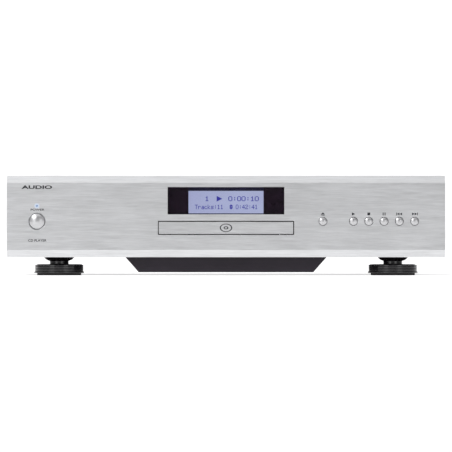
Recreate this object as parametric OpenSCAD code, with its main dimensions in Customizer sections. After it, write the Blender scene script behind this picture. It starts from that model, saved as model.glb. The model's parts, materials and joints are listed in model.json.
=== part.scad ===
// Full-width compact disc player with a motor-driven disc tray.
// X runs to the right, Y to the back and Z up. The origin is the middle of the footprint, on the shelf.

/* [Cabinet] */
// Overall width, set by the front panel
panel_w = 430; // [420:1:440]
// Height of the front panel
panel_h = 80; // [78:1:84]
// Thickness of the front panel
panel_t = 8; // [7:0.5:9]
// Height of the two long bevels on the front panel
bevel_h = 7; // [4:0.5:8]
// Depth of the two long bevels on the front panel
bevel_d = 4.5; // [2:0.5:5]
// Overall depth, from the button tips to the jack tips
overall_d = 314; // [310:1:330]
// Thickness of the sheet steel
sheet = 1.2; // [1:0.1:1.5]
// How far the buttons stand out of the front panel
button_proud = 2; // [1.5:0.1:2]
// How far the phono jacks stand out of the rear panel
jack_proud = 9; // [8:0.5:10]

/* [Feet and belly] */
// Height of a foot, pad included
foot_h = 18; // [16:0.5:20]
// Radius of the widest ring of a foot
foot_r = 25; // [22:0.5:26]
// Distance from the middle to a front foot, sideways
foot_x = 166; // [150:0.5:175]
// Distance from the middle to a rear foot, sideways
rear_foot_x = 178; // [165:1:180]
// Width of the belly pan where it leaves the base
belly_top_w = 198; // [190:1:200]
// Width of the belly pan's flat bottom
belly_bottom_w = 172; // [165:1:180]
// Gap between the belly pan and the shelf
belly_clear = 3.2; // [2:0.1:4]

/* [Display] */
// Width of the display window
window_w = 114.4; // [110:0.1:118]
// Height of the display window
window_h = 26.8; // [25:0.1:28]
// Width of the lit part of the display
lcd_w = 73.7; // [70:0.1:76]
// Height of the lit part of the display
lcd_h = 22.1; // [20:0.1:23]

/* [Tray] */
// Width of the mouth in the front panel
mouth_w = 133.7; // [133:0.1:135]
// Height of the mouth in the front panel
mouth_h = 13.8; // [13.4:0.1:14]
// Gap round the tray door
door_gap = 0.9; // [0.5:0.1:1]
// How far the tray slides out
tray_travel = 140; // [136:1:142]
// Radius of the recess for a 120 mm disc
disc_r = 61; // [60.5:0.1:61.5]

/* [Buttons] */
// Radius of a transport button
button_r = 3.8; // [3.5:0.1:4]
// Distance between neighbouring transport buttons
button_pitch = 15; // [14:0.5:15]
// Travel of a transport button
button_travel = 0.7; // [0.4:0.1:0.7]
// Radius of the power button
power_r = 7.4; // [7:0.1:7.6]
// Travel of the power button
power_travel = 2.5; // [2:0.1:2.5]

/* [Hidden] */
$fn = 48;

// Cabinet planes
face_y = -overall_d / 2 + button_proud;
panel_back_y = face_y + panel_t;
bracket_back_y = panel_back_y + sheet;
rear_y = overall_d / 2 - jack_proud;
rear_inner_y = rear_y - sheet;
top_z = foot_h + panel_h;
cover_top_z = top_z - 2;
cover_in_z = cover_top_z - sheet;
floor_z = foot_h + sheet;
shell_x = panel_w / 2 - 3;
cover_x = shell_x + sheet;
front_foot_y = face_y + 45;
rear_foot_y = 118;
foot_places = [[-foot_x, front_foot_y], [foot_x, front_foot_y],
    [-rear_foot_x, rear_foot_y], [rear_foot_x, rear_foot_y]];
pad_h = 2.2;
pad_r = 22;
lip_top_z = 3.6;
crown_z = 10.5;
waist_r = 9.4;
flare_z = 14.2;
flare_r = 15;
foot_well_r = 6;
foot_seat_z = 7;
foot_hole_r = 2.2;

// Belly pan
belly_front_y = face_y + 12;
belly_back_y = 52;
belly_flange = 7;
belly_flange_z = floor_z + sheet;

// Display
window_z = 73.4;
lcd_z = 72.1;
window_recess = 0.3;
window_flange = 3;
pocket_depth = 3;
lcd_front_y = face_y + 7;

// Controls
button_z = 53.2;
next_x = 185;
eject_x = next_x - 6 * button_pitch;
power_x = -185.4;
led_z = 68.3;
led_r = 1;
button_hole_gap = 0.3;
flange_t = 1;
stem_r = 1.5;
board_y = face_y + 17.6;
board_t = 1.6;
key_h = 4.4;
flange_clear_r = 5.7;
power_stem_y = bracket_back_y + 8;
transport_x = [for (i = [0:4]) next_x - i * button_pitch];

// Tray and loader
tray_z = 46.8;
door_t = 5;
tray_front_y = face_y + door_t;
tray_back_y = 22;
tray_half_w = 65.6;
rim_z = 51;
rail_bottom_z = 42;
floor12_z = 46.6;
floor8_z = 45.1;
floor_t = 1.5;
disc_y = tray_front_y + 7 + disc_r;
slot_half_w = 22;
slot_back_y = disc_y + disc_r - 2;
wall_in_x = 66;
wall_out_x = 70;
loader_front_y = bracket_back_y + 1.3;
loader_back_y = 42;
loader_floor_z = 22;
loader_floor_t = 2;
loader_top_z = 54;
bridge_top_z = loader_top_z + 1.5;
clamper_neck_r = 10.5;
loader_foot_x = 101;
loader_foot_y = [-111, 29];
loader_foot_half = 7;

// Gear train under the tray
drive_m = 1;
drive_teeth = 20;
drive_x = -46;
drive_y = -130;
reduction_m = 0.7;
reduction_teeth = 36;
pulley_teeth = 12;
reduction_angle = 120.4;
reduction_distance = reduction_m * (reduction_teeth + pulley_teeth) / 2;
pulley_x = drive_x + reduction_distance * cos(reduction_angle);
pulley_y = drive_y + reduction_distance * sin(reduction_angle);
pulley_r = 8;
motor_pulley_r = 4;
belt_run = 46;
belt_t = 1.2;
belt_z = 29;
gear_low_z = 33;
gear_high_z = 40.8;
gear_axle_r = 1.5;
axle_gap = 0.05;
backlash = 0.12;

// Lifting mechanism, given in its raised and level position
pivot_y = 30;
pivot_z = 36;
lift_angle = 3.12;
pin_y = -112;
cam_travel = 14;
cam_y = pin_y - 10;
cam_t = 4;
pin_x = [-4, 30];
pin_r = 2;
cam_lift = (pivot_y - cam_y - cam_t / 2) * sin(lift_angle);
sled_travel = 35;
sled_m = 0.8;
sled_teeth = 14;
sled_rack_x = 25;
sled_gear_x = sled_rack_x + sled_m * sled_teeth / 2;
sled_gear_y = -24;
sled_low_m = 0.5;
sled_low_teeth = 24;
sled_pinion_teeth = 10;
sled_motor_y = sled_gear_y + sled_low_m * (sled_low_teeth + sled_pinion_teeth) / 2;
sled_y = disc_y + 23;
guide_x = 20;
guide_r = 1.5;
guide_z = 34;
plate_z = 38.6;
plate_t = 1.5;

// Rear connectors
phono_x = [186, 168];
coax_x = 142;
phono_z = [62, 44];
jack_r = 4.15;
jack_collar_r = 5.4;
jack_collar = 1;
contact_r = 1.6;
link_bore_r = 1.8;
link_x = [112, 94];
link_z = 44;
serial_x = 66;
serial_z = 45;
inlet_x = -168;
inlet_z = 48;
main_board_z = 27;
transformer_x = -153;
transformer_y = 48;

// ---------- shapes used more than once ----------

// A box given by its two corners.
module box(low, high) {
    translate(low) cube(high - low);
}

// A cylinder whose axis runs to the back, from y0 to y1.
module rod_y(x, z, r, y0, y1) {
    translate([x, y0, z]) rotate([-90, 0, 0]) cylinder(r = r, h = y1 - y0);
}

// A cone or cylinder whose axis runs to the back, r0 wide at y0 and r1 wide at y1.
module cone_y(x, z, r0, r1, y0, y1) {
    translate([x, y0, z]) rotate([-90, 0, 0]) cylinder(r1 = r0, r2 = r1, h = y1 - y0);
}

// A cylinder on the Z axis from z0 to z1.
module cylinder_between(r, z0, z1) {
    translate([0, 0, z0]) cylinder(r = r, h = z1 - z0);
}

// A cylinder whose axis runs up through a place, from z0 to z1.
module rod_z(x, y, r, z0, z1) {
    translate([x, y, 0]) cylinder_between(r, z0, z1);
}

// A cylinder whose axis runs to the right, from x0 to x1.
module rod_x(y, z, r, x0, x1) {
    translate([x0, y, z]) rotate([0, 90, 0]) cylinder(r = r, h = x1 - x0);
}

// A rectangle in X and Z with round corners, extruded from y0 to y1.
module rounded_slab(w, h, r, z, y0, y1) {
    translate([0, y1, z]) rotate([90, 0, 0]) linear_extrude(y1 - y0) {
        square([w - 2 * r, h], center = true);
        square([w, h - 2 * r], center = true);
        for (sx = [-1, 1], sz = [-1, 1]) translate([sx * (w / 2 - r), sz * (h / 2 - r)]) circle(r = r);
    }
}

// A slot with round ends along X, cut upwards from z0 to z1.
module slot_x(x, y, length, width, z0, z1) {
    box([x - length / 2 + width / 2, y - width / 2, z0], [x + length / 2 - width / 2, y + width / 2, z1]);
    for (s = [-1, 1]) rod_z(x + s * (length - width) / 2, y, width / 2, z0, z1);
}

// Half of the angle that a tooth spans at radius r, for an involute of base radius rb.
function involute(a) = (tan(a) - a * PI / 180) * 180 / PI;
function half_tooth(r, rb, at_pitch) = at_pitch + involute(20) - involute(r <= rb ? 0 : acos(rb / r));

// Outline of a spur gear with stub teeth; a tooth points along +X.
function gear_outline(m, teeth) =
    let (r = m * teeth / 2, rb = r * cos(20), root = r - 1.1 * m, tip = r + 0.8 * m,
         at_pitch = 90 / teeth - backlash / 2 / r * 180 / PI,
         low = max(root + 0.01, rb),
         radii = [root, for (i = [0:4]) low + (tip - low) * i / 4])
    [for (k = [0:teeth - 1], side = [-1, 1], i = [0:5])
        let (q = radii[side < 0 ? i : 5 - i],
             a = 360 * k / teeth + side * half_tooth(q, rb, at_pitch))
        q * [cos(a), sin(a)]];

module gear(m, teeth, phase, z0, z1) {
    translate([0, 0, z0]) rotate(phase) linear_extrude(z1 - z0) polygon(gear_outline(m, teeth));
}

// A rack along Y whose teeth point along -X, with its pitch line at x = 0 and a space at y = 0.
module rack(m, first, last, back, z0, z1) {
    p = PI * m;
    half = p / 4 - backlash / 2;
    tip = half - 0.8 * m * tan(20);
    root = half + 1.1 * m * tan(20);
    teeth = [for (k = [first:last])
        for (q = [[1.1 * m, -root], [-0.8 * m, -tip], [-0.8 * m, tip], [1.1 * m, root]])
            [q[0], (k + 0.5) * p + q[1]]];
    ends = [[back, (last + 1) * p], [back, first * p]];
    translate([0, 0, z0]) linear_extrude(z1 - z0) polygon(concat(teeth, ends));
}

// Places children that are drawn raised and level where they rest: lowered about the hinge pin.
module lowered() {
    translate([0, pivot_y, pivot_z]) rotate([lift_angle, 0, 0])
        translate([0, -pivot_y, -pivot_z]) children();
}

// ---------- front ----------

module front_panel() {
    color("gainsboro") difference() {
        translate([-panel_w / 2, 0, 0]) rotate([90, 0, 90]) linear_extrude(panel_w) polygon([
            [panel_back_y, foot_h], [face_y + bevel_d, foot_h], [face_y, foot_h + bevel_h],
            [face_y, top_z - bevel_h], [face_y + bevel_d, top_z], [panel_back_y, top_z]]);
        box([-window_w / 2, face_y - 1, window_z - window_h / 2],
            [window_w / 2, panel_back_y + 1, window_z + window_h / 2]);
        box([-window_w / 2 - window_flange - 0.5, panel_back_y - pocket_depth,
            window_z - window_h / 2 - window_flange - 0.5],
            [window_w / 2 + window_flange + 0.5, panel_back_y + 1,
                window_z + window_h / 2 + window_flange + 0.5]);
        rounded_slab(mouth_w, mouth_h, 1, tray_z, face_y - 1, panel_back_y + 1);
        for (x = concat(transport_x, [eject_x])) {
            rod_y(x, button_z, button_r + button_hole_gap, face_y - 1, panel_back_y + 1);
            cone_y(x, button_z, button_r + 1.1, button_r + button_hole_gap, face_y - 0.5, face_y + 0.3);
        }
        rod_y(power_x, button_z, power_r + button_hole_gap, face_y - 1, panel_back_y + 1);
        cone_y(power_x, button_z, power_r + 1.7, power_r + button_hole_gap, face_y - 0.5, face_y + 0.9);
        rod_y(power_x, led_z, led_r + 0.1, face_y - 1, panel_back_y + 1);
    }
}

module display_window() {
    color([0.14, 0.1, 0.15]) {
        box([-window_w / 2 + 0.1, face_y + window_recess, window_z - window_h / 2 + 0.1],
            [window_w / 2 - 0.1, panel_back_y - pocket_depth, window_z + window_h / 2 - 0.1]);
        box([-window_w / 2 - window_flange, panel_back_y - pocket_depth,
            window_z - window_h / 2 - window_flange],
            [window_w / 2 + window_flange, panel_back_y - pocket_depth + 1.8,
                window_z + window_h / 2 + window_flange]);
    }
}

module lcd_frame() {
    color("dimgray") difference() {
        box([-42, lcd_front_y, lcd_z - 15], [42, lcd_front_y + 5, lcd_z + 15]);
        box([-lcd_w / 2 - 0.3, lcd_front_y - 1, lcd_z - lcd_h / 2 - 0.3],
            [lcd_w / 2 + 0.3, lcd_front_y + 1, lcd_z + lcd_h / 2 + 0.3]);
        box([-41.4, lcd_front_y + 0.5, lcd_z - 14.4], [41.4, lcd_front_y + 6, lcd_z + 14.4]);
    }
}

module lcd_panel() {
    color([0.62, 0.67, 0.8])
        box([-41.2, lcd_front_y + 0.6, lcd_z - 14.2], [41.2, board_y, lcd_z + 14.2]);
}

// Display and key board, with one push switch behind each transport button.
module front_board() {
    color("darkgreen") {
        box([-60, board_y, 57], [204, board_y + board_t, 92]);
        box([84, board_y, 42], [204, board_y + board_t, 57]);
        for (x = concat(transport_x, [eject_x])) {
            box([x - 3, board_y - 3.5, button_z - 3], [x + 3, board_y, button_z + 3]);
            rod_y(x, button_z, 1.75, board_y - key_h, board_y - 3.5);
        }
    }
}

// Steel plate that carries the front panel, with clearance for everything that passes through it.
module front_bracket() {
    color("silver") difference() {
        box([-shell_x + sheet + 0.5, panel_back_y, floor_z],
            [shell_x - sheet - 0.5, bracket_back_y, cover_in_z - 0.5]);
        box([-63, panel_back_y - 1, window_z - 17.5], [63, bracket_back_y + 1, window_z + 17.5]);
        box([-mouth_w / 2 - 2, panel_back_y - 1, tray_z - 8.5],
            [mouth_w / 2 + 2, bracket_back_y + 1, tray_z + 8]);
        for (x = concat(transport_x, [eject_x]))
            rod_y(x, button_z, flange_clear_r, panel_back_y - 1, bracket_back_y + 1);
        rod_y(power_x, button_z, power_r + 2.4, panel_back_y - 1, bracket_back_y + 1);
        rod_y(power_x, led_z, 3, panel_back_y - 1, bracket_back_y + 1);
    }
}

// Moulded strip that guides the stems of the transport buttons.
module button_guide() {
    y0 = bracket_back_y;
    color("dimgray") difference() {
        box([eject_x - 9, y0, button_z - 8], [next_x + 9, y0 + 2.4, button_z + 8]);
        for (x = concat(transport_x, [eject_x])) {
            rod_y(x, button_z, flange_clear_r, y0 - 1, y0 + 0.8);
            rod_y(x, button_z, stem_r + axle_gap, y0 - 1, y0 + 4);
        }
    }
}

// A domed round cap on a stem, with a flange that keeps it behind the panel.
module push_button(x, r, stem, stem_end_y) {
    dome_h = r * 0.35;
    dome_r = (r * r + dome_h * dome_h) / (2 * dome_h);
    tip_y = face_y - button_proud;
    flange_y = panel_back_y + 0.1;
    intersection() {
        rod_y(x, button_z, r, tip_y - 1, flange_y);
        translate([x, tip_y + dome_r, button_z]) sphere(r = dome_r);
    }
    rod_y(x, button_z, r + 1.4, flange_y, flange_y + flange_t);
    rod_y(x, button_z, stem, flange_y + flange_t, stem_end_y);
}

module transport_button(x) {
    push_button(x, button_r, stem_r, board_y - key_h - button_travel - 0.1);
}

module power_button() {
    color("whitesmoke") push_button(power_x, power_r, 2.5, power_stem_y);
}

// Mains switch on a steel yoke fixed to the front bracket.
module power_switch() {
    front = power_stem_y + power_travel + 0.2;
    color("dimgray") {
        box([power_x - 8, front, button_z - 6], [power_x + 8, front + 22, button_z + 6]);
        for (s = [-1, 1]) {
            box([power_x - 6, bracket_back_y, button_z + s * 11.5 - 0.6],
                [power_x + 6, front + 22, button_z + s * 11.5 + 0.6]);
            box([power_x - 6, front + 10, button_z + s * 8.45 - 2.45],
                [power_x + 6, front + 12, button_z + s * 8.45 + 2.45]);
        }
    }
}

module power_led() {
    color("deepskyblue") {
        rod_y(power_x, led_z, led_r, face_y + 0.2, panel_back_y);
        rod_y(power_x, led_z, 2, panel_back_y, panel_back_y + 5);
    }
}

// ---------- cabinet ----------

module top_cover() {
    vent_x = 120;
    vent_rows = 17;
    vent_pitch = 9;
    vent_first_y = -20;
    side_holes = 12;
    side_hole_pitch = 1.3 * vent_pitch;
    side_hole_z = [50, 64];
    color([0.12, 0.12, 0.13]) difference() {
        box([-cover_x, panel_back_y, foot_h + 1], [cover_x, rear_y, cover_top_z]);
        box([-shell_x, panel_back_y - 1, foot_h], [shell_x, rear_y + 1, cover_in_z]);
        for (s = [-1, 1], i = [0:vent_rows - 1])
            slot_x(s * vent_x, vent_first_y + i * vent_pitch, 80, 3, cover_in_z - 1, cover_top_z + 1);
        for (s = [-1, 1], i = [0:side_holes - 1], z = side_hole_z)
            rod_x(vent_first_y - 2 + i * side_hole_pitch, z, 1.5, s * cover_x - 4, s * cover_x + 4);
    }
}

module base_plate() {
    lip = 12;
    color("silver") difference() {
        union() {
            box([-shell_x, panel_back_y, foot_h], [shell_x, rear_inner_y, floor_z]);
            for (s = [-1, 1])
                box([s > 0 ? shell_x - sheet : -shell_x, bracket_back_y, floor_z],
                    [s > 0 ? shell_x : sheet - shell_x, rear_inner_y, floor_z + lip]);
        }
        box([-belly_top_w / 2 - 0.5, belly_front_y - 0.5, foot_h - 1],
            [belly_top_w / 2 + 0.5, belly_back_y + 0.5, floor_z + 1]);
        for (p = foot_places) rod_z(p[0], p[1], foot_hole_r, foot_h - 1, floor_z + 1);
    }
}

// Deep trough under the disc drive. Its sides lean in towards the flat bottom.
module belly_pan() {
    half_top = belly_top_w / 2;
    half_bottom = belly_bottom_w / 2;
    lean = sheet * sqrt(1 + pow((half_top - half_bottom) / (foot_h - belly_clear), 2));
    color([0.2, 0.18, 0.21]) {
        difference() {
            translate([0, belly_back_y, 0]) rotate([90, 0, 0])
                linear_extrude(belly_back_y - belly_front_y) polygon([
                [-half_bottom, belly_clear], [half_bottom, belly_clear], [half_top, foot_h],
                [half_top, floor_z], [-half_top, floor_z], [-half_top, foot_h]]);
            translate([0, belly_back_y - sheet, 0]) rotate([90, 0, 0])
                linear_extrude(belly_back_y - belly_front_y - 2 * sheet) polygon([
                    [-half_bottom + sheet, belly_clear + sheet],
                        [half_bottom - sheet, belly_clear + sheet],
                    [half_top - lean, foot_h], [half_top - lean, floor_z + 1],
                    [-half_top + lean, floor_z + 1], [-half_top + lean, foot_h]]);
        }
        difference() {
            box([-half_top - belly_flange, belly_front_y, floor_z],
                [half_top + belly_flange, belly_back_y + belly_flange, belly_flange_z]);
            box([-half_top + lean, belly_front_y + sheet, floor_z - 1],
                [half_top - lean, belly_back_y - sheet, belly_flange_z + 1]);
        }
    }
}

module rear_panel() {
    color("silver") difference() {
        box([-shell_x, rear_inner_y, floor_z - sheet], [shell_x, rear_y, cover_in_z]);
        for (x = phono_x, z = phono_z) rod_y(x, z, jack_collar_r + 0.3, rear_inner_y - 1, rear_y + 1);
        rod_y(coax_x, phono_z[1], jack_collar_r + 0.3, rear_inner_y - 1, rear_y + 1);
        for (x = link_x) rod_y(x, link_z, 3.3, rear_inner_y - 1, rear_y + 1);
        box([serial_x - 8.3, rear_inner_y - 1, serial_z - 7.3],
            [serial_x + 8.3, rear_y + 1, serial_z + 7.3]);
        box([inlet_x - 13.8, rear_inner_y - 1, inlet_z - 10.3],
            [inlet_x + 13.8, rear_y + 1, inlet_z + 10.3]);
    }
}

// Turned foot: a wide disc with a lip round its base, on a waist that flares again under the cabinet.
module foot(place) {
    side_r = foot_r - 0.9;
    translate([place[0], place[1], 0]) rotate_extrude() polygon([
        [foot_well_r, pad_h], [foot_r - 0.3, pad_h], [foot_r, pad_h + 0.4], [foot_r, lip_top_z],
        [side_r, lip_top_z + 0.6], [side_r, crown_z - 0.5], [side_r - 0.5, crown_z],
        [waist_r + 1.2, crown_z], [waist_r, crown_z + 0.9], [waist_r, flare_z],
        [waist_r + 1.6, flare_z + 0.4], [flare_r, foot_h], [foot_hole_r, foot_h],
        [foot_hole_r, foot_seat_z], [foot_well_r, foot_seat_z]]);
}

module foot_pads() {
    color("black") for (p = foot_places) difference() {
        rod_z(p[0], p[1], pad_r, 0, pad_h);
        rod_z(p[0], p[1], 8, -1, pad_h + 1);
    }
}

// Long screws up through the feet into nuts on the base plate.
module foot_screws() {
    color("gray") for (p = foot_places) {
        rod_z(p[0], p[1], 4.5, foot_seat_z - 3.5, foot_seat_z);
        rod_z(p[0], p[1], foot_hole_r - 0.2, foot_seat_z, floor_z);
        rod_z(p[0], p[1], 4, floor_z, floor_z + 3.2);
    }
}

// Pan-head screws: three in each side of the cover, four in the rear panel and four in the loader's feet.
module screws() {
    side_y = [-110, 20, 120];
    side_z = 27;
    side_head = 1.2;
    rear_x = [-200, -70, 10, 200];
    rear_z = 88;
    rear_head = 1.6;
    color("dimgray") {
        for (s = [-1, 1], y = side_y)
            rod_x(y, side_z, 3.4, s > 0 ? cover_x : -cover_x - side_head,
                s > 0 ? cover_x + side_head : -cover_x);
        for (x = rear_x) rod_y(x, rear_z, 3.2, rear_y, rear_y + rear_head);
        for (x = [-loader_foot_x, loader_foot_x], y = loader_foot_y) {
            rod_z(x, y, 3, loader_floor_z + 1, loader_floor_z + 3.2);
            rod_z(x, y, 1.5, belly_flange_z, loader_floor_z + 1);
        }
    }
}

// ---------- electronics ----------

// Toroidal transformer with rounded shoulders.
module transformer() {
    outer = 45;
    inner = 16;
    tall = 38;
    color("darkgoldenrod") translate([transformer_x, transformer_y, floor_z + 1])
        rotate_extrude() polygon([
        [inner, 3], [inner + 3, 0], [outer - 5, 0], [outer, 5], [outer, tall - 5], [outer - 5, tall],
        [inner + 3, tall], [inner, tall - 3]]);
}

module transformer_clamp() {
    color("silver") {
        rod_z(transformer_x, transformer_y, 26, floor_z + 39, floor_z + 40.5);
        rod_z(transformer_x, transformer_y, 3, floor_z, floor_z + 39);
        rod_z(transformer_x, transformer_y, 5, floor_z + 40.5, floor_z + 44);
    }
}

// Main board on six pillars, with its larger chips.
module main_board() {
    pillars = [[118, -104], [198, -104], [118, 40], [198, 10], [66, 70], [66, 138]];
    chips = [[130, -60], [170, -70], [150, -20], [90, 100]];
    chip = 14;
    top = main_board_z + board_t;
    color("darkgreen") {
        box([60, 64, main_board_z], [204, rear_inner_y - 1.4, top]);
        box([112, -110, main_board_z], [204, 64, top]);
        for (p = pillars) rod_z(p[0], p[1], 3, floor_z, main_board_z);
        for (p = chips) box([p[0], p[1], top], [p[0] + chip, p[1] + chip, top + 2]);
    }
}

module capacitors() {
    foot_z = main_board_z + board_t;
    color("midnightblue") for (i = [0:3], j = [0:1])
        rod_z(126 + 20 * i, 26 + 22 * j, 8, foot_z, foot_z + 30);
}

module heat_sink() {
    left = 150;
    back = -93;
    fins = 8;
    low = main_board_z + board_t;
    high = low + 25;
    color("black") {
        box([left, back - 3, low], [left + 46, back, high]);
        for (i = [0:fins - 1])
            box([left + 1 + 6 * i, back - 13, low], [left + 2.5 + 6 * i, back - 3, high]);
    }
}

// One phono socket: a housing, a collar through the panel and a hollow barrel that a plug slides over.
module phono_jack(x, z) {
    difference() {
        union() {
            rod_y(x, z, 6.5, rear_inner_y - 12, rear_inner_y);
            rod_y(x, z, jack_collar_r, rear_inner_y, rear_y + jack_collar);
            rod_y(x, z, jack_r, rear_y + jack_collar, rear_y + jack_proud);
        }
        rod_y(x, z, contact_r, rear_inner_y - 4, rear_y + jack_proud + 1);
    }
}

module phono_jacks() {
    color("gold") for (x = phono_x, z = phono_z) phono_jack(x, z);
}

module coaxial_jack() {
    color("orange") phono_jack(coax_x, phono_z[1]);
}

// Mains inlet: a flanged shroud with three blades inside.
module power_inlet() {
    flange = [25, 11.5];
    shroud = [13.5, 10];
    mouth = [12.1, 8.2];
    depth = 15;
    back = rear_y + 2.5;
    blades = [[-7, -2], [7, -2], [0, 2]];
    color([0.1, 0.1, 0.1]) translate([inlet_x, 0, inlet_z]) {
        difference() {
            union() {
                box([-flange[0], rear_y, -flange[1]], [flange[0], back, flange[1]]);
                box([-shroud[0], rear_y - depth - 3.2, -shroud[1]], [shroud[0], rear_y, shroud[1]]);
            }
            box([-mouth[0], rear_y - depth, -mouth[1]], [mouth[0], back + 1, mouth[1]]);
        }
        for (p = blades)
            box([p[0] - 1, rear_y - depth, p[1] - 2], [p[0] + 1, rear_y - 0.5, p[1] + 2]);
    }
}

module link_jacks() {
    color("black") for (x = link_x) difference() {
        union() {
            rod_y(x, link_z, 3, rear_inner_y - 1, rear_y + 1.5);
            rod_y(x, link_z, 5, rear_inner_y - 13, rear_inner_y);
        }
        rod_y(x, link_z, link_bore_r, rear_y - 11, rear_y + 3);
    }
}

module serial_jack() {
    shell = [8, 7];
    color("darkgray") translate([serial_x, 0, serial_z]) difference() {
        box([-shell[0], rear_inner_y - 14, -shell[1]], [shell[0], rear_y + 0.8, shell[1]]);
        box([-5.9, rear_inner_y - 11, -3.6], [5.9, rear_y + 2, 3.4]);
    }
}

// Flat cable from the front board down to the main board.
module ribbon_cable() {
    t = 0.4;
    left = 120;
    width = 24;
    start_y = board_y + board_t;
    start_z = 60;
    fold_y = start_y + 8;
    end_y = start_y + 30;
    end_z = main_board_z + board_t;
    color("white") rotate([90, 0, 90]) translate([0, 0, left]) linear_extrude(width) polygon([
        [start_y, start_z], [fold_y, start_z], [end_y, end_z + 3], [end_y, end_z],
        [end_y - t, end_z], [end_y - t, end_z + 3 - t],
        [fold_y - t, start_z - t], [start_y, start_z - t]]);
}

// ---------- loader ----------

// Plastic frame of the disc drive: two guiding walls, a floor with an opening, and the gear axles.
module loader_frame() {
    ledge_x = 61;
    floor_top = loader_floor_z + loader_floor_t;
    color([0.18, 0.18, 0.19]) {
        difference() {
            union() {
                for (s = [-1, 1]) {
                    box([s > 0 ? wall_in_x : -wall_out_x, loader_front_y, loader_floor_z],
                        [s > 0 ? wall_out_x : -wall_in_x, loader_back_y, loader_top_z]);
                    box([s > 0 ? ledge_x : -wall_in_x, loader_front_y, rail_bottom_z - 3.2],
                        [s > 0 ? wall_in_x : -ledge_x, loader_back_y, rail_bottom_z - 0.2]);
                    for (y = loader_foot_y)
                        box([s > 0 ? wall_out_x : -loader_foot_x - 4, y - loader_foot_half, belly_flange_z],
                            [s > 0 ? loader_foot_x + 4 : -wall_out_x, y + loader_foot_half,
                                loader_floor_z + 1]);
                }
                box([-wall_out_x, loader_front_y, loader_floor_z], [wall_out_x, loader_back_y, floor_top]);
                box([-wall_out_x, loader_back_y - 3, floor_top], [wall_out_x, loader_back_y, 40]);
                box([-20, loader_front_y, floor_top], [56, loader_front_y + 3, 38]);
            }
            box([-44, cam_y + cam_t + 2, loader_floor_z - 1], [44, pivot_y - 8, floor_top + 1]);
            rod_z(pulley_x, pulley_y + belt_run, 4, loader_floor_z - 1, floor_top + 1);
            for (s = [-1, 1], y = loader_foot_y)
                rod_z(s * loader_foot_x, y, 1.7, belly_flange_z - 1, loader_floor_z + 2);
        }
        for (s = [-1, 1]) difference() {
            box([s > 0 ? 46 : -50, pivot_y - 6, floor_top], [s > 0 ? 50 : -46, pivot_y + 12, 41]);
            rod_x(pivot_y, pivot_z, 2.5 + axle_gap, s * 48 - 5, s * 48 + 5);
        }
        rod_z(drive_x, drive_y, gear_axle_r, floor_top, gear_high_z + 2.6);
        rod_z(drive_x, drive_y, 3, floor_top, gear_low_z - 0.3);
        rod_z(pulley_x, pulley_y, gear_axle_r, floor_top, gear_low_z + 4);
        rod_z(pulley_x, pulley_y, 3, floor_top, belt_z - 1.3);
    }
}

module clamp_bridge() {
    half = 18;
    color("silver") difference() {
        box([-wall_out_x, disc_y - half, loader_top_z], [wall_out_x, disc_y + half, bridge_top_z]);
        rod_z(0, disc_y, clamper_neck_r + 0.5, loader_top_z - 1, bridge_top_z + 1);
    }
}

// Magnetic puck that hangs in the bridge and presses the disc on to the turntable.
module clamper() {
    bottom = 49;
    plate_top = bottom + 2.2;
    rim = bridge_top_z + 0.3;
    color("ivory") difference() {
        union() {
            rod_z(0, disc_y, 15, bottom, plate_top);
            rod_z(0, disc_y, clamper_neck_r, plate_top, rim);
            rod_z(0, disc_y, 13, rim, rim + 1.6);
        }
        rod_z(0, disc_y, 8.6, bottom - 1, plate_top + 1);
    }
}

// Sliding tray: side rails, a stepped disc recess, a slot for the pickup, and a rack underneath.
module disc_tray() {
    rack_x = drive_x + drive_m * drive_teeth / 2;
    p = PI * drive_m;
    first = ceil((tray_front_y + 2 - drive_y) / p);
    last = floor((tray_back_y - 2 - drive_y) / p) - 1;
    rail_in_x = 62;
    small_r = 40.8;
    color([0.16, 0.16, 0.17]) {
        difference() {
            union() {
                box([-tray_half_w, tray_front_y, floor8_z], [tray_half_w, tray_back_y, rim_z]);
                for (s = [-1, 1])
                    box([s > 0 ? rail_in_x : -tray_half_w, tray_front_y, rail_bottom_z],
                        [s > 0 ? tray_half_w : -rail_in_x, tray_back_y, floor8_z]);
                box([-tray_half_w, tray_front_y, rail_bottom_z],
                    [tray_half_w, tray_front_y + 2, floor8_z]);
                rod_z(0, disc_y, small_r + floor_t, floor8_z - floor_t, floor8_z);
            }
            rod_z(0, disc_y, disc_r, floor12_z, rim_z + 1);
            rod_z(0, disc_y, small_r, floor8_z, rim_z + 1);
            box([-20, disc_y, floor12_z], [20, tray_back_y + 1, rim_z + 1]);
            box([-slot_half_w, disc_y - 24, floor8_z - floor_t - 1],
                [slot_half_w, slot_back_y, rim_z + 1]);
            for (s = [-1, 1]) rod_z(s * 56, disc_y, 12, floor12_z, rim_z + 1);
        }
        translate([rack_x, drive_y, 0]) rack(drive_m, first, last, 4, gear_high_z - 0.3, floor8_z);
    }
}

module tray_door() {
    color("gainsboro") rounded_slab(mouth_w - 2 * door_gap, mouth_h - 2 * door_gap, 0.5, tray_z,
        face_y, tray_front_y);
}

// Compound gear: the upper gear drives the tray's rack and the lower one takes the motor's drive.
module drive_gear() {
    color("ivory") translate([drive_x, drive_y, 0]) difference() {
        union() {
            gear(drive_m, drive_teeth, 0, gear_high_z, gear_high_z + 2.4);
            cylinder_between(8, gear_low_z + 3, gear_high_z);
            gear(reduction_m, reduction_teeth, reduction_angle, gear_low_z, gear_low_z + 3);
        }
        cylinder_between(gear_axle_r + axle_gap, 0, 60);
    }
}

module pulley_gear() {
    color("ivory") translate([pulley_x, pulley_y, 0]) difference() {
        union() {
            gear(reduction_m, pulley_teeth, reduction_angle + 180 + 180 / pulley_teeth, belt_z + 1.8,
                gear_low_z + 3.2);
            pulley_groove(pulley_r);
        }
        cylinder_between(gear_axle_r + axle_gap, 0, 60);
    }
}

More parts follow.
